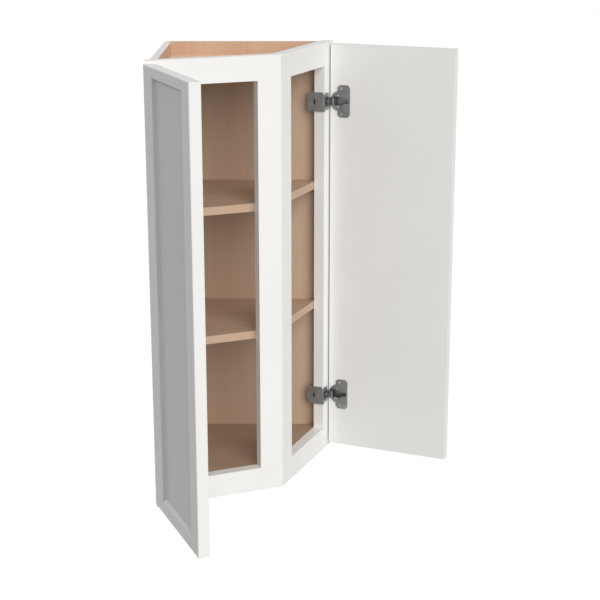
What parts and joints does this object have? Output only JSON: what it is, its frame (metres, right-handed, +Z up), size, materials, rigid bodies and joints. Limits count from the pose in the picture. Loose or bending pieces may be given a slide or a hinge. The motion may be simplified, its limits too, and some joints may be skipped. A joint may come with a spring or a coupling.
{
  "type": "angled wall end cabinet",
  "caption": "Angled end cabinet for a wall run: a mitred face frame with two openings that meet at a corner post, hinged doors, shelves behind and an open well on top.",
  "frame": {"origin": "middle of the back's outer face, on the wall, at half the height", "axes": "+X right along the wall, +Y into the wall, -Y into the room, +Z up"},
  "size_m": [0.5186, 0.5192, 0.762],
  "materials": {
    "white_paint": "satin white paint on hardwood",
    "case_board": "plywood, white outside and maple veneer inside",
    "wood_veneer": "maple veneer",
    "hardwood": "bare beech",
    "nickel_steel": "nickel plate, satin"
  },
  "bodies": {
    "cabinet": {"left_frame_outer_stile": "white_paint", "left_frame_corner_stile": "white_paint", "left_frame_top_rail": "white_paint", "left_frame_bottom_rail": "white_paint", "left_frame_dowels": "hardwood", "right_frame_outer_stile": "white_paint", "right_frame_corner_stile": "white_paint", "right_frame_top_rail": "white_paint", "right_frame_bottom_rail": "white_paint", "right_frame_dowels": "hardwood", "side_panel": "case_board", "back_panel": "case_board", "top_panel": "wood_veneer", "bottom_panel": "wood_veneer", "upper_shelf": "wood_veneer", "lower_shelf": "wood_veneer", "upper_shelf_pins": "nickel_steel", "lower_shelf_pins": "nickel_steel", "left_upper_hinge_bracket": "nickel_steel", "left_upper_hinge_arm": "nickel_steel", "left_upper_hinge_frame_screw": "nickel_steel", "left_lower_hinge_bracket": "nickel_steel", "left_lower_hinge_arm": "nickel_steel", "left_lower_hinge_frame_screw": "nickel_steel", "right_upper_hinge_bracket": "nickel_steel", "right_upper_hinge_arm": "nickel_steel", "right_upper_hinge_frame_screw": "nickel_steel", "right_lower_hinge_bracket": "nickel_steel", "right_lower_hinge_arm": "nickel_steel", "right_lower_hinge_frame_screw": "nickel_steel"},
    "left_door": {"left_door": "white_paint", "left_upper_hinge_cup": "nickel_steel", "left_upper_hinge_pin": "nickel_steel", "left_upper_hinge_spring": "nickel_steel", "left_upper_hinge_cup_screws": "nickel_steel", "left_lower_hinge_cup": "nickel_steel", "left_lower_hinge_pin": "nickel_steel", "left_lower_hinge_spring": "nickel_steel", "left_lower_hinge_cup_screws": "nickel_steel"},
    "right_door": {"right_door": "white_paint", "right_upper_hinge_cup": "nickel_steel", "right_upper_hinge_pin": "nickel_steel", "right_upper_hinge_spring": "nickel_steel", "right_upper_hinge_cup_screws": "nickel_steel", "right_lower_hinge_cup": "nickel_steel", "right_lower_hinge_pin": "nickel_steel", "right_lower_hinge_spring": "nickel_steel", "right_lower_hinge_cup_screws": "nickel_steel"}
  },
  "joints": [
    {"name": "left_door_hinge", "type": "hinge", "parent": "cabinet", "child": "left_door", "pos_m": [-0.13931, -0.31107, 0], "axis": [0, 0, 1], "range_deg": [-15, 90]},
    {"name": "right_door_hinge", "type": "hinge", "parent": "cabinet", "child": "right_door", "pos_m": [0.15748, -0.01596, 0], "axis": [0, 0, -1], "range_deg": [-15, 90]}
  ]
}
